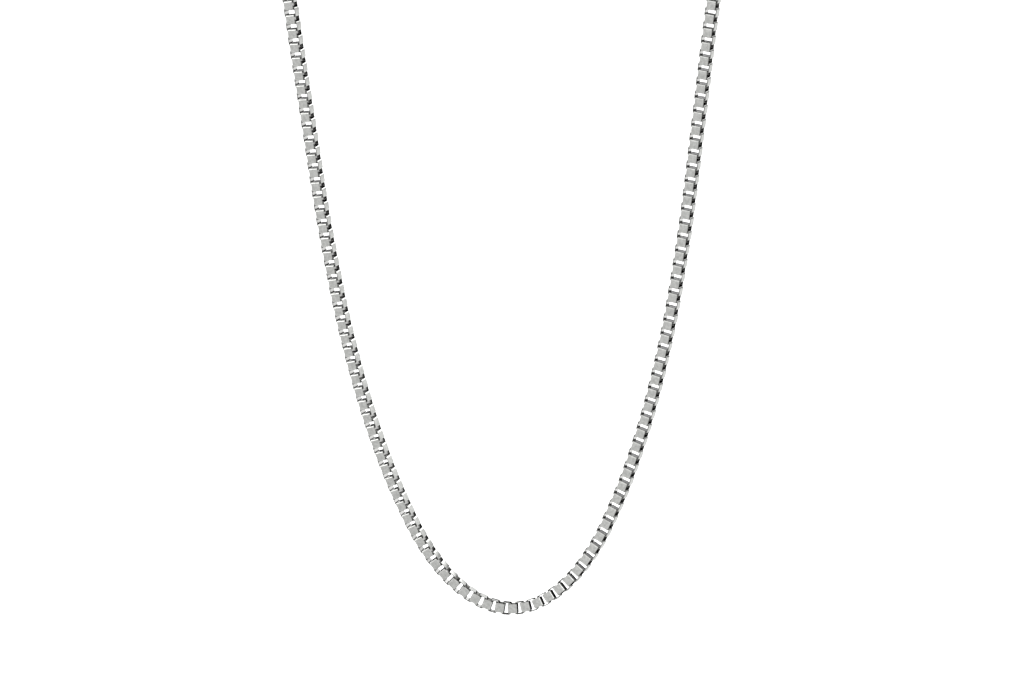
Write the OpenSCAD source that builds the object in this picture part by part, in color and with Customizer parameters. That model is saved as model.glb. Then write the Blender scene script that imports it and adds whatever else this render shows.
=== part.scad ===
// Box chain necklace, a closed loop about 610 mm long.
// Each link is a flat strap bent to a rounded square ring, and every second
// link is turned by a quarter turn, so that its ends hook into its neighbours.
// Millimetres, +Z up. The origin is at the nape, in the middle of the clasp.
// The wearer looks towards -Y, and the chain hangs down in front of the neck.

/* [Link] */
// Width of a link across the chain
link_w = 3.52; // [3.3:0.02:3.9]
// Thickness of the strap that a link is bent from
strap_t = 0.26; // [0.2:0.01:0.32]
// Inner radius of the bends at a link's four corners
bend_r = 0.26; // [0.16:0.02:0.28]
// Distance from link to link where the chain hangs taut
taut_pitch = 2.05; // [2:0.01:2.2]
// Gap between a strap's edge and the wall of the link around it
side_play = 0.22; // [0.2:0.01:0.28]
// Gap between two hooked end walls where the chain hangs taut
end_play = 0.14; // [0.13:0.01:0.18]

/* [Front and back] */
// Length of the hanging stretch whose links are separate, from its lowest point up each side
front_reach = 194; // [150:1:195]
// Diameter of the plain round stretch that stands for the links behind the neck
back_d = 3.6; // [3.5:0.1:3.9]
// Gap between that stretch and the link or eye at its end
back_gap = 0.25; // [0.2:0.05:0.4]

/* [Clasp] */
// Length of the clasp's barrel
barrel_l = 9; // [7:0.5:14]
// Diameter of the barrel
barrel_d = 4.4; // [3.8:0.1:6]
// Height of the rounding at each end of the barrel
barrel_round = 0.8; // [0.4:0.1:1.4]
// Width of the bead round the barrel's middle
bead_w = 1.2; // [0.8:0.1:2]
// Height of that bead above the barrel
bead_h = 0.3; // [0.2:0.05:0.5]
// Thickness of the ring-shaped eyes
eye_wire = 0.9; // [0.7:0.05:1.2]
// Diameter of the hole in an eye
eye_hole = 3.5; // [3.3:0.1:4.2]
// How far an eye is sunk into the barrel, where it is soldered
eye_sunk = 0.6; // [0.4:0.05:0.8]

/* [Hidden] */

// Right half of the route, from the lowest point to the clasp: x, y, z.
// The hanging part is a slack U, and the rest goes round the back of the neck.
HALF_ROUTE = [
    [0, -60, -205],
    [5.8, -60, -204],
    [11.6, -60, -201],
    [17.4, -60, -196],
    [23.5, -60, -188],
    [30.1, -60, -175],
    [37.6, -60, -155],
    [44.4, -60, -130],
    [50.1, -60, -100],
    [55, -60, -65],
    [58.7, -60, -37],
    [60.6, -58, -23],
    [61.4, -51, -11],
    [60, -40, -4],
    [54, -27, -1],
    [43, -14, 0],
    [28, -4, 0]
];

// Spacing of the links: share of the route's length, share of the taut pitch.
// They hang taut down the sides, and lie closer where the chain bends.
SPACING = [
    [0, 0.955],
    [0.16, 0.955],
    [0.19, 0.97],
    [0.34, 0.975],
    [0.37, 0.94],
    [0.45, 0.925],
    [0.48, 0.895],
    [0.52, 0.905],
    [0.545, 0.96],
    [0.58, 0.98],
    [0.78, 0.98],
    [0.81, 0.955],
    [0.83, 0.945],
    [1, 0.945]
];

// How far the links are turned about the chain: share of the length, degrees.
// A chain that hangs freely keeps a gentle twist.
TURN = [
    [0, 0],
    [0.14, -12],
    [0.18, 8],
    [0.29, 8],
    [0.34, 12],
    [0.42, 13],
    [0.46, 4],
    [0.5, -14],
    [0.54, -22],
    [0.58, -24],
    [0.67, -22],
    [0.82, -22],
    [0.86, -12],
    [1, 0]
];

// Sizes of a link that follow from the others
link_l = taut_pitch + 2 * strap_t + end_play;
strap_w = link_w - 2 * strap_t - 2 * side_play;

// Where the clasp's eyes sit, and where the first and last link hook into them
eye_r = (eye_hole + eye_wire) / 2;
eye_x = barrel_l / 2 + eye_hole / 2 + eye_wire - eye_sunk;
eye_end = eye_x + eye_hole / 2 + eye_wire;
seat = sqrt(pow(eye_hole / 2, 2) - pow(strap_w / 2 + end_play, 2)) - strap_t;
chain_end = eye_x + seat + link_l / 2;

function unit(v) = v / norm(v);
function flip(p) = [-p.x, p.y, p.z];
function across(v, along) = unit(v - (v * along) * along);

// Whole route, from the clasp's left end down and up again to its right end
half = concat(HALF_ROUTE, [[chain_end, 0, 0]]);
last = len(half) - 1;
route = concat([for (i = [last:-1:1]) flip(half[i])], half);
spans = len(route) - 1;

// Smooth curve through the route's points, span by span
function chord(i) = norm(route[i + 1] - route[i]);
function heading(i) = (route[i + 1] - route[i]) / chord(i);
function slope(i) =
    i == 0 ? heading(0) :
    i == spans ? heading(spans - 1) :
    (heading(i - 1) * chord(i) + heading(i) * chord(i - 1)) / (chord(i - 1) + chord(i));
function on_span(i, u) =
    (2 * pow(u, 3) - 3 * pow(u, 2) + 1) * route[i]
    + (pow(u, 3) - 2 * pow(u, 2) + u) * chord(i) * slope(i)
    + (3 * pow(u, 2) - 2 * pow(u, 3)) * route[i + 1]
    + (pow(u, 3) - pow(u, 2)) * chord(i) * slope(i + 1);
span_steps = 8;
way = concat(
    [for (i = [0:spans - 1], k = [0:span_steps - 1]) on_span(i, k / span_steps)],
    [route[spans]]
);
way_end = len(way) - 1;

// Distance along the curve at each of its points
function way_step(i) = i > way_end ? 0 : norm(way[i] - way[i - 1]);
dist = [for (i = 0, s = 0; i <= way_end; i = i + 1, s = s + way_step(i)) s];
route_l = dist[way_end];

// Facing direction at each point: up at the nape, carried along without turning
function carried(f, i) = i > way_end ? f : across(f, unit(way[i] - way[i - 1]));
facing = [for (i = 0, f = [0, 0, 1]; i <= way_end; i = i + 1, f = carried(f, i)) f];

function column(points, c) = [for (i = [0:way_end]) [dist[i], points[i][c]]];
way_x = column(way, 0);
way_y = column(way, 1);
way_z = column(way, 2);
facing_x = column(facing, 0);
facing_y = column(facing, 1);
facing_z = column(facing, 2);

function place(s) = [lookup(s, way_x), lookup(s, way_y), lookup(s, way_z)];
reach = 0.5;
function along(s) = unit(place(min(s + reach, route_l)) - place(max(s - reach, 0)));
function front(s) = across([lookup(s, facing_x), lookup(s, facing_y), lookup(s, facing_z)], along(s));
// Front direction of the links there, with the chain's twist
function turned(s) =
    let (a = along(s), f = front(s), w = lookup(s / route_l, TURN))
    f * cos(w) + cross(a, f) * sin(w);

// Links used up to each point, and an even number of steps from first to last,
// so that both end links lie the same way in the clasp's eyes
function links_in(i) = i > way_end ? 0 : way_step(i) / (taut_pitch * lookup(dist[i] / route_l, SPACING));
used = [for (i = 0, n = 0; i <= way_end; i = i + 1, n = n + links_in(i)) n];
steps = 2 * ceil(used[way_end] / 2);
stations = [for (i = [0:way_end]) [used[i] * steps / used[way_end], dist[i]]];
function station(i) = lookup(i, stations);
front_links = [for (i = [0:steps]) if (abs(station(i) - route_l / 2) <= front_reach) i];
first_front = front_links[0];
last_front = front_links[len(front_links) - 1];

// Rounded rectangle
module plate(l, w, r) {
    square([l, w - 2 * r], center = true);
    square([l - 2 * r, w], center = true);
    for (x = [-1, 1], y = [-1, 1])
        translate([x * (l / 2 - r), y * (w / 2 - r)]) circle(r = r, $fn = 32);
}

// A link at the origin: long way along X, strap's width along Z
module link() {
    linear_extrude(strap_w, center = true)
        difference() {
            plate(link_l, link_w, bend_r + strap_t);
            plate(link_l - 2 * strap_t, link_w - 2 * strap_t, bend_r);
        }
}

// Puts a shape on the route, its X along the chain and its Z to the given side
module put_on(s, side) {
    a = along(s);
    z = across(side, a);
    y = cross(z, a);
    p = place(s);
    multmatrix([
        [a.x, y.x, z.x, p.x],
        [a.y, y.y, z.y, p.y],
        [a.z, y.z, z.z, p.z],
        [0, 0, 0, 1]
    ])
        children();
}

module chain_front() {
    color("silver")
        for (i = front_links) {
            s = station(i);
            put_on(s, i % 2 == 0 ? turned(s) : cross(along(s), turned(s))) link();
        }
}

// Tube with eight sides along the route, with a ring every few diameters
tube_sides = 8;
ring_step = 2.5 * back_d;
function ring(s) = [
    for (k = [0:tube_sides - 1])
        let (w = 360 * (k + 0.5) / tube_sides, f = front(s))
        place(s) + back_d / 2 * (f * cos(w) + cross(along(s), f) * sin(w))
];
module tube(from, to) {
    rings = ceil((to - from) / ring_step);
    points = [for (i = [0:rings]) each ring(from + (to - from) * i / rings)];
    walls = [
        for (i = [0:rings - 1], k = [0:tube_sides - 1])
            let (a = i * tube_sides, b = a + tube_sides, m = (k + 1) % tube_sides)
            [a + k, b + k, b + m, a + m]
    ];
    start = [for (k = [0:tube_sides - 1]) k];
    end = [for (k = [tube_sides - 1:-1:0]) rings * tube_sides + k];
    polyhedron(points, concat(walls, [start, end]));
}

module chain_back() {
    clasp_side = eye_end + back_gap - chain_end;
    front_side = link_l / 2 + back_gap;
    color("silver") {
        tube(clasp_side, station(first_front) - front_side);
        tube(station(last_front) + front_side, route_l - clasp_side);
    }
}

module barrel() {
    r = barrel_d / 2;
    straight = barrel_l / 2 - barrel_round;
    rotate([0, 90, 0]) {
        cylinder(h = 2 * straight, r = r, center = true, $fn = 48);
        cylinder(h = bead_w, r = r + bead_h, center = true, $fn = 48);
        for (side = [-1, 1])
            scale([1, 1, side]) translate([0, 0, straight])
                cylinder(h = barrel_round, r1 = r, r2 = r - barrel_round, $fn = 48);
    }
}

module clasp() {
    color("silver") {
        barrel();
        for (side = [-1, 1])
            translate([side * eye_x, 0, 0]) rotate([90, 0, 0])
                rotate_extrude($fn = 48) translate([eye_r, 0]) circle(d = eye_wire, $fn = 24);
    }
}

chain_front();
chain_back();
clasp();
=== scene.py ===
# Box chain necklace in polished silver, hanging from the nape in a long U.
import math
import random

import bmesh
import bpy
import numpy as np
from mathutils import Matrix, Vector


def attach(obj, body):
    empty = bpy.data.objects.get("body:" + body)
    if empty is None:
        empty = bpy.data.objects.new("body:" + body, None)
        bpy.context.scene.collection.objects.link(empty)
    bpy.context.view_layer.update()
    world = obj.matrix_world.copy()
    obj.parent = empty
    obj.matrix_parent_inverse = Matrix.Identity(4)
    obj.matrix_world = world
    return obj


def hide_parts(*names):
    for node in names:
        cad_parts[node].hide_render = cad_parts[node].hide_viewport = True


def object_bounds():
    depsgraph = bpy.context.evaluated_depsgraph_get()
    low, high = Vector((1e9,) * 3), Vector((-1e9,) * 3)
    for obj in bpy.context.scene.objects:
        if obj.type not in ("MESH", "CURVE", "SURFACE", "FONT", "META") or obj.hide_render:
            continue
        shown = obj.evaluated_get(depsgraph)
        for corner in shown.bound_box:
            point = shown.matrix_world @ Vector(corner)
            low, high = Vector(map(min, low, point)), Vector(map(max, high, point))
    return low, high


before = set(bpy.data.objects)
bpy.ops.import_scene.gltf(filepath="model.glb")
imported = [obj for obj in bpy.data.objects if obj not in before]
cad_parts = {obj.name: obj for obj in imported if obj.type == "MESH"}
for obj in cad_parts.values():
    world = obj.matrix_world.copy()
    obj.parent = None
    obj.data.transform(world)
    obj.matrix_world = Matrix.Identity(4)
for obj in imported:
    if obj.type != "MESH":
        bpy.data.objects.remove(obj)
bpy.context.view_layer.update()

# One link of the chain, in millimetres: a flat strap punched from sterling silver sheet, bent
# round a square former and soldered shut. Its long way is X, and the strap's width is Z.
# Tumbling takes the sharpness off the outer rims of the strap.
mm = 0.001
link_w = 3.52
strap_t = 0.26
bend_r = 0.26
taut_pitch = 2.05
side_play = 0.22
end_play = 0.14
link_l = taut_pitch + 2 * strap_t + end_play
strap_w = link_w - 2 * strap_t - 2 * side_play
rim_round = 0.045
# The parts of a link that differ in finish, in the order in which its mesh holds their silvers
outer_wall, inner_wall, cut_edge, hooked_end = range(4)
square_on = 0.99


def faces_x(face):
    return abs(face.normal.x) > square_on


def faces_z(face):
    return abs(face.normal.z) > square_on


# A block with its four corners rounded, then opened through to leave the strap's thickness
def bend_link():
    bm = bmesh.new()
    block = Matrix.Diagonal((link_l, link_w, strap_w, 1))
    bmesh.ops.create_cube(bm, size=1, matrix=block)
    corners = [e for e in bm.edges if abs(e.verts[0].co.z - e.verts[1].co.z) > strap_w / 2]
    bmesh.ops.bevel(
        bm, geom=corners, offset=bend_r + strap_t, segments=2, profile=0.5, affect="EDGES", material=-1
    )
    bm.normal_update()
    open_sides = [f for f in bm.faces if faces_z(f)]
    bmesh.ops.inset_individual(bm, faces=open_sides, thickness=strap_t, use_even_offset=True)
    outer_rims = [e for e in bm.edges if len({faces_z(f) for f in e.link_faces}) == 2]
    inner_rims = [e for f in open_sides for e in f.edges]
    bmesh.ops.delete(bm, geom=open_sides, context="FACES_ONLY")
    for f in bm.faces:
        if faces_z(f):
            f.material_index = cut_edge
        # End walls take a darker grey: painted shade where the links hook into each other
        elif faces_x(f):
            f.material_index = hooked_end
        else:
            f.material_index = outer_wall
    # Inner walls take the silver with painted black shade towards the link's ends
    for f in bmesh.ops.bridge_loops(bm, edges=inner_rims)["faces"]:
        f.material_index = inner_wall
    for e in inner_rims:
        e.smooth = False
    bmesh.ops.bevel(
        bm, geom=outer_rims, offset=rim_round, segments=1, profile=0.5, affect="EDGES", material=-1
    )
    bmesh.ops.recalc_face_normals(bm, faces=bm.faces)
    for f in bm.faces:
        f.smooth = True
    mesh = bpy.data.meshes.new("link")
    bm.to_mesh(mesh)
    bm.free()
    return mesh


link = bend_link()


def linear(code):
    parts = [int(code[i : i + 2], 16) / 255 for i in (1, 3, 5)]
    return tuple(v / 12.92 if v <= 0.04045 else ((v + 0.055) / 1.055) ** 2.4 for v in parts) + (1,)


def add_node(tree, kind, settings=None, inputs=None):
    made = tree.nodes.new(kind)
    for name, value in (settings or {}).items():
        setattr(made, name, value)
    for name, value in (inputs or {}).items():
        if isinstance(value, bpy.types.NodeSocket):
            tree.links.new(value, made.inputs[name])
        else:
            made.inputs[name].default_value = value
    return made


def bare_metal(name):
    mat = bpy.data.materials.new(name)
    mat.use_nodes = True
    shader = mat.node_tree.nodes["Principled BSDF"]
    shader.inputs["Metallic"].default_value = 1
    return mat, mat.node_tree, shader


# Silver with patches about 0.8 mm across that are a little duller and greyer than the rest.
# The attribute in_mm is a point's place on its own link, in millimetres.
def mottled_silver(name, grey, bright, dullest, glossiest):
    patches_per_mm = 1.3
    mat, tree, shader = bare_metal(name)
    where = add_node(tree, "ShaderNodeAttribute", {"attribute_name": "in_mm"})
    cloud = add_node(
        tree,
        "ShaderNodeTexNoise",
        inputs={"Vector": where.outputs["Vector"], "Scale": patches_per_mm, "Detail": 4},
    )
    patch = add_node(
        tree,
        "ShaderNodeMapRange",
        inputs={"Value": cloud.outputs["Fac"], "From Min": 0.35, "From Max": 0.65},
    )
    tone = add_node(
        tree,
        "ShaderNodeMix",
        {"data_type": "RGBA"},
        {"Factor": patch.outputs["Result"], "A": linear(grey), "B": linear(bright)},
    )
    tree.links.new(tone.outputs["Result"], shader.inputs["Base Color"])
    dull = add_node(
        tree,
        "ShaderNodeMapRange",
        inputs={"Value": patch.outputs["Result"], "To Min": dullest, "To Max": glossiest},
    )
    tree.links.new(dull.outputs["Result"], shader.inputs["Roughness"])
    return mat


# Silver inside a link: bright in the middle of the side walls, going over to painted black shade
# in the corners and on the end walls, so that small gaps look black.
def inside_silver_painted_shade():
    # How far from the link's middle, in mm, the painted shade starts and where it is full
    shade_starts = 0.32
    shade_full = 0.5
    mat, tree, shader = bare_metal("inside_silver_painted_shade")
    shader.inputs["Roughness"].default_value = 0.15
    where = add_node(tree, "ShaderNodeAttribute", {"attribute_name": "in_mm"})
    axes = add_node(tree, "ShaderNodeSeparateXYZ", inputs={"Vector": where.outputs["Vector"]})
    from_middle = add_node(tree, "ShaderNodeMath", {"operation": "ABSOLUTE"}, {0: axes.outputs["X"]})
    painted_shade = add_node(
        tree,
        "ShaderNodeMapRange",
        inputs={"Value": from_middle.outputs["Value"], "From Min": shade_starts, "From Max": shade_full},
    )
    tone = add_node(
        tree,
        "ShaderNodeMix",
        {"data_type": "RGBA"},
        {"Factor": painted_shade.outputs["Result"], "A": linear("#f8f8f6"), "B": linear("#0c0c0e")},
    )
    tree.links.new(tone.outputs["Result"], shader.inputs["Base Color"])
    return mat


# Outer walls are tumbled to a near mirror, so each takes the tone of the room before it. Cut
# edges are greyer and duller, and draw a thin darker line round each link. End walls are darker
# still, a painted shade for where the links hook into each other.
polished = mottled_silver("polished_silver", "#dcddda", "#f2f3f0", 0.11, 0.06)
shaded_inside = inside_silver_painted_shade()
cut = mottled_silver("cut_edge_silver", "#949592", "#b2b3b0", 0.3, 0.2)
hooked_end_shade = mottled_silver("hooked_end_painted_shade", "#707072", "#8c8c8c", 0.25, 0.15)
link_finishes = [polished, shaded_inside, cut, hooked_end_shade]

# Hanging stretch of the chain, from its lowest point up both sides, as the photo shows it.
# It is some 200 loose links in a slack U, each hooked through its neighbours. The whole run of
# the chain goes on over the shoulders and round the nape to the clasp.
front_reach = 194
# Right half of the run, from the lowest point to the clasp, in millimetres: x, y, z
half_route = [
    (0, -60, -205),
    (5.8, -60, -204),
    (11.6, -60, -201),
    (17.4, -60, -196),
    (23.5, -60, -188),
    (30.1, -60, -175),
    (37.6, -60, -155),
    (44.4, -60, -130),
    (50.1, -60, -100),
    (55, -60, -65),
    (58.7, -60, -37),
    (60.6, -58, -23),
    (61.4, -51, -11),
    (60, -40, -4),
    (54, -27, -1),
    (43, -14, 0),
    (28, -4, 0),
]
# Spacing of the links: share of the run's length, share of the taut pitch
spacing = [
    (0, 0.955),
    (0.16, 0.955),
    (0.19, 0.97),
    (0.34, 0.975),
    (0.37, 0.94),
    (0.45, 0.925),
    (0.48, 0.895),
    (0.52, 0.905),
    (0.545, 0.96),
    (0.58, 0.98),
    (0.78, 0.98),
    (0.81, 0.955),
    (0.83, 0.945),
    (1, 0.945),
]
# Twist of the links about the chain: share of the run's length, degrees
turn = [
    (0, 0),
    (0.14, -12),
    (0.18, 8),
    (0.29, 8),
    (0.34, 12),
    (0.42, 13),
    (0.46, 4),
    (0.5, -14),
    (0.54, -22),
    (0.58, -24),
    (0.67, -22),
    (0.82, -22),
    (0.86, -12),
    (1, 0),
]
# The last links hook into the clasp's ring-shaped eyes, so the clasp's sizes say where they end
barrel_l = 9
eye_wire = 0.9
eye_hole = 3.5
eye_sunk = 0.6
eye_x = barrel_l / 2 + eye_hole / 2 + eye_wire - eye_sunk
seat = math.sqrt((eye_hole / 2) ** 2 - (strap_w / 2 + end_play) ** 2) - strap_t
chain_end = eye_x + seat + link_l / 2

# Whole run, from the clasp's left end down and up again to its right end
half = [Vector(p) for p in half_route + [(chain_end, 0, 0)]]
route = [Vector((-p.x, p.y, p.z)) for p in reversed(half[1:])] + half
chords = [b - a for a, b in zip(route, route[1:])]
slopes = [chords[0].normalized()]
for before, after in zip(chords, chords[1:]):
    blend = before.normalized() * after.length + after.normalized() * before.length
    slopes.append(blend / (before.length + after.length))
slopes.append(chords[-1].normalized())


# Smooth curve through the run's points, span by span
def on_span(i, u):
    h = chords[i].length
    return (
        (2 * u**3 - 3 * u**2 + 1) * route[i]
        + (u**3 - 2 * u**2 + u) * h * slopes[i]
        + (3 * u**2 - 2 * u**3) * route[i + 1]
        + (u**3 - u**2) * h * slopes[i + 1]
    )


# Points on the curve, their distance along it, and a direction square to it that starts upwards
# and is carried along without turning
span_steps = 8
way = [on_span(i, k / span_steps) for i in range(len(chords)) for k in range(span_steps)]
way.append(route[-1])
dist = [0.0]
facing = [Vector((0, 0, 1))]
for a, b in zip(way, way[1:]):
    ahead = b - a
    dist.append(dist[-1] + ahead.length)
    carried = facing[-1] - facing[-1].project(ahead)
    facing.append(carried.normalized())
run_l = dist[-1]


def lookup(share, table):
    shares, values = zip(*table)
    return float(np.interp(share, shares, values))


# Links used up to each point, and an even number of steps from the first link to the last, so
# that both end links lie the same way in the clasp's eyes
used = [0.0]
for a, b in zip(dist, dist[1:]):
    pitch = taut_pitch * lookup(b / run_l, spacing)
    used.append(used[-1] + (b - a) / pitch)
steps = 2 * math.ceil(used[-1] / 2)
counts = [n * steps / used[-1] for n in used]
stations = [float(np.interp(i, counts, dist)) for i in range(steps + 1)]


# One of the curve's vectors, at any distance along it
def between(s, vectors):
    return Vector([float(np.interp(s, dist, [v[c] for v in vectors])) for c in range(3)])


# Direction of the chain there
def along(s):
    reach = 0.5
    return (between(min(s + reach, run_l), way) - between(max(s - reach, 0), way)).normalized()


# Puts a link's X along the chain, and turns every second link by a quarter turn
def place_link(i):
    s = stations[i]
    x = along(s)
    front = between(s, facing)
    front = (front - front.project(x)).normalized()
    twist = math.radians(lookup(s / run_l, turn))
    side = front * math.cos(twist) + x.cross(front) * math.sin(twist)
    z = side if i % 2 == 0 else x.cross(side)
    y = z.cross(x)
    turned = Matrix((x, y, z)).transposed().to_4x4()
    return Matrix.Translation(between(s, way) * mm) @ turned @ Matrix.Scale(mm, 4)


def show(bm, name, finishes):
    mesh = bpy.data.meshes.new(name)
    bm.to_mesh(mesh)
    bm.free()
    for mat in finishes:
        mesh.materials.append(mat)
    obj = bpy.data.objects.new(name, mesh)
    bpy.context.scene.collection.objects.link(obj)
    return obj


# Flat faces shade flat, right up to the narrow roundings beside them
def flatten_shading(obj):
    firm = obj.modifiers.new("flat faces", "WEIGHTED_NORMAL")
    firm.keep_sharp = True


# Strings up the numbered links, and notes each vertex's place on its link for the materials:
# true along the link, and shifted across it so that no two links are mottled alike
def string_links(name, numbers, seed):
    furthest_shift = 1000
    dice = random.Random(seed)
    bm = bmesh.new()
    in_mm = bm.verts.layers.float_vector.new("in_mm")
    for i in numbers:
        old = len(bm.verts)
        bm.from_mesh(link)
        bm.verts.ensure_lookup_table()
        new = bm.verts[old:]
        shift = Vector((0, dice.uniform(0, furthest_shift), dice.uniform(0, furthest_shift)))
        for v in new:
            v[in_mm] = v.co + shift
        bmesh.ops.transform(bm, matrix=place_link(i), verts=new)
    obj = show(bm, name, link_finishes)
    flatten_shading(obj)
    return obj


on_front = [i for i, s in enumerate(stations) if abs(s - run_l / 2) <= front_reach]
chain_front = string_links("chain_front_links", on_front, seed=1)
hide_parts("chain_front")
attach(chain_front, "root")

# The stretches over the shoulders and behind the neck, of the same links.
# The last link on each side hooks into an eye of the clasp.
on_back = [i for i in range(steps + 1) if i not in on_front]
chain_back = string_links("chain_back_links", on_back, seed=2)
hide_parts("chain_back")
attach(chain_back, "root")

# Barrel clasp at the nape, turned from silver rod with rounded ends and a bead round its middle.
# A ring of round wire is soldered into each end, and the chain's last links hook into the rings.
barrel_d = 4.4
barrel_round = 0.8
bead_w = 1.2
bead_h = 0.3
bead_round = 0.25
rod_sides = 48
round_steps = 5
wire_sides = 16
ring_steps = 48


def edges_among(bm, verts):
    ends = set(verts)
    return [e for e in bm.edges if ends.issuperset(e.verts)]


def turn_rod(bm, length, radius, rounding):
    along_x = Matrix.Rotation(math.radians(90), 4, "Y")
    rod = bmesh.ops.create_cone(
        bm, cap_ends=True, segments=rod_sides, radius1=radius, radius2=radius, depth=length, matrix=along_x
    )["verts"]
    rims = [e for e in edges_among(bm, rod) if abs(e.verts[0].co.x - e.verts[1].co.x) < length / 2]
    bmesh.ops.bevel(
        bm, geom=rims, offset=rounding, segments=round_steps, profile=0.5, affect="EDGES", material=-1
    )


def make_clasp():
    bm = bmesh.new()
    turn_rod(bm, barrel_l, barrel_d / 2, barrel_round)
    turn_rod(bm, bead_w, barrel_d / 2 + bead_h, bead_round)
    for side in (-1, 1):
        wire = bmesh.ops.create_circle(bm, segments=wire_sides, radius=eye_wire / 2)["verts"]
        centre = Vector((side * eye_x, 0, 0))
        bmesh.ops.translate(bm, verts=wire, vec=centre + Vector(((eye_hole + eye_wire) / 2, 0, 0)))
        circle = wire + edges_among(bm, wire)
        bmesh.ops.spin(
            bm, geom=circle, cent=centre, axis=(0, 1, 0), angle=math.tau, steps=ring_steps, use_merge=True
        )
    bmesh.ops.remove_doubles(bm, verts=bm.verts, dist=0.0001)
    bmesh.ops.recalc_face_normals(bm, faces=bm.faces)
    in_mm = bm.verts.layers.float_vector.new("in_mm")
    for v in bm.verts:
        v[in_mm] = v.co
    for f in bm.faces:
        f.smooth = True
    bmesh.ops.scale(bm, vec=(mm, mm, mm), verts=bm.verts)
    obj = show(bm, "clasp_barrel", [polished])
    flatten_shading(obj)
    return obj


clasp = make_clasp()
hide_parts("clasp")
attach(clasp, "root")

# Plain floor of pale matt paper, some way below the chain. The silver doesn't mirror it, and
# mirrors the lower part of the tent instead.
floor_drop = 0.05
floor_reach = 6
paper = bpy.data.materials.new("pale_paper")
paper.use_nodes = True
paper_shader = paper.node_tree.nodes["Principled BSDF"]
paper_shader.inputs["Base Color"].default_value = linear("#f7f7f7")
paper_shader.inputs["Roughness"].default_value = 1
bm = bmesh.new()
bmesh.ops.create_grid(bm, x_segments=1, y_segments=1, size=floor_reach)
bmesh.ops.translate(bm, vec=(0, 0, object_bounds()[0].z - floor_drop), verts=bm.verts)
floor = show(bm, "floor", [paper])
floor.visible_glossy = False

# Soft light from a tent of pale cloth. It is even and greyish on the camera's side, and has a
# broad white band round the other sides. Straight behind the chain is a dark slit, with a low
# dark flap beside it on each side.
world = bpy.data.worlds.new("tent")
bpy.context.scene.world = world
world.use_nodes = True
tree = world.node_tree
direction = add_node(tree, "ShaderNodeTexCoord")
axes = add_node(tree, "ShaderNodeSeparateXYZ", inputs={"Vector": direction.outputs["Generated"]})
level = add_node(
    tree, "ShaderNodeMapRange", inputs={"Value": axes.outputs["Z"], "From Min": -1, "From Max": 1}
)


# Cloth whose brightness changes with height: degrees above the horizon, grey
def cloth(stops):
    made = add_node(tree, "ShaderNodeValToRGB", inputs={"Fac": level.outputs["Result"]})
    made.color_ramp.elements.remove(made.color_ramp.elements[1])
    for k, (height, grey) in enumerate(stops):
        at = (math.sin(math.radians(height)) + 1) / 2
        stop = made.color_ramp.elements[0] if k == 0 else made.color_ramp.elements.new(at)
        stop.position = at
        stop.color = (grey, grey, grey, 1)
    return made.outputs["Color"]


# Goes from one cloth to the next, from the camera's side (-1) to straight behind the chain (1)
def sew(nearer, further, start, end):
    share = add_node(
        tree, "ShaderNodeMapRange", inputs={"Value": axes.outputs["Y"], "From Min": start, "From Max": end}
    )
    made = add_node(
        tree,
        "ShaderNodeMix",
        {"data_type": "RGBA"},
        {"Factor": share.outputs["Result"], "A": nearer, "B": further},
    )
    return made.outputs["Result"]


front_cloth = cloth([(-90, 0.27), (0, 0.31), (12, 0.34), (37, 0.4)])
white_band = [(27, 1), (45, 1), (66, 0.5), (80, 0.3)]
side_cloth = cloth([(-90, 0.3), (-30, 0.42), (-3, 0.36), (22, 0.46)] + white_band)
flap_cloth = cloth([(-90, 0.3), (-30, 0.42), (-3, 0.36), (2, 0.04), (15, 0.04), (20, 0.46)] + white_band)
slit_cloth = cloth([(-90, 0.3), (-20, 0.34), (-14, 0), (10, 0), (12, 0.36), (22, 0.46)] + white_band)
tent = sew(front_cloth, side_cloth, -0.52, -0.42)
tent = sew(tent, flap_cloth, 0.65, 0.82)
tent = sew(tent, slit_cloth, 0.84, 0.93)
tree.links.new(tent, tree.nodes["Background"].inputs["Color"])
tree.nodes["Background"].inputs["Strength"].default_value = 2

# A square lamp overhead, which whitens the floor. The silver doesn't mirror it.
lamp = bpy.data.lights.new("overhead", "AREA")
lamp.shape = "SQUARE"
lamp.size = 1.2
lamp.energy = 30
overhead = bpy.data.objects.new("overhead", lamp)
overhead.location = (0, -0.2, 1.4)
overhead.visible_glossy = False
bpy.context.scene.collection.objects.link(overhead)

# Camera at the photo's angle: a long lens four metres away, a little from the right and from
# above, aimed so that the lowest link falls on the same pixel as in the photo.
lens_away = 4.0
view_turn = math.radians(8)
view_rise = math.radians(12)
view_roll = math.radians(-0.93)
px_per_mm = 3.564
photo_w, photo_h = 1024, 682
lowest_px_x, lowest_px_y = 510.8, 608.2
sensor_w = 36
lowest_link = Vector(half_route[0]) * mm
to_camera = Vector(
    (
        math.sin(view_turn) * math.cos(view_rise),
        -math.cos(view_turn) * math.cos(view_rise),
        math.sin(view_rise),
    )
)
view = (-to_camera).to_track_quat("-Z", "Y").to_matrix()
view = view @ Matrix.Rotation(view_roll, 3, "Z")
right, up = view.col[0], view.col[1]
px = mm / px_per_mm
aim = lowest_link - right * (lowest_px_x - photo_w / 2) * px + up * (lowest_px_y - photo_h / 2) * px
camera_data = bpy.data.cameras.new("camera")
camera_data.sensor_width = sensor_w
camera_data.lens = sensor_w * lens_away / (photo_w * px)
camera_data.clip_end = 50
camera = bpy.data.objects.new("camera", camera_data)
bpy.context.scene.collection.objects.link(camera)
camera.rotation_mode = "QUATERNION"
camera.rotation_quaternion = view.to_quaternion()
camera.location = aim + to_camera * lens_away
bpy.context.scene.camera = camera
bpy.context.scene.view_settings.view_transform = "Standard"
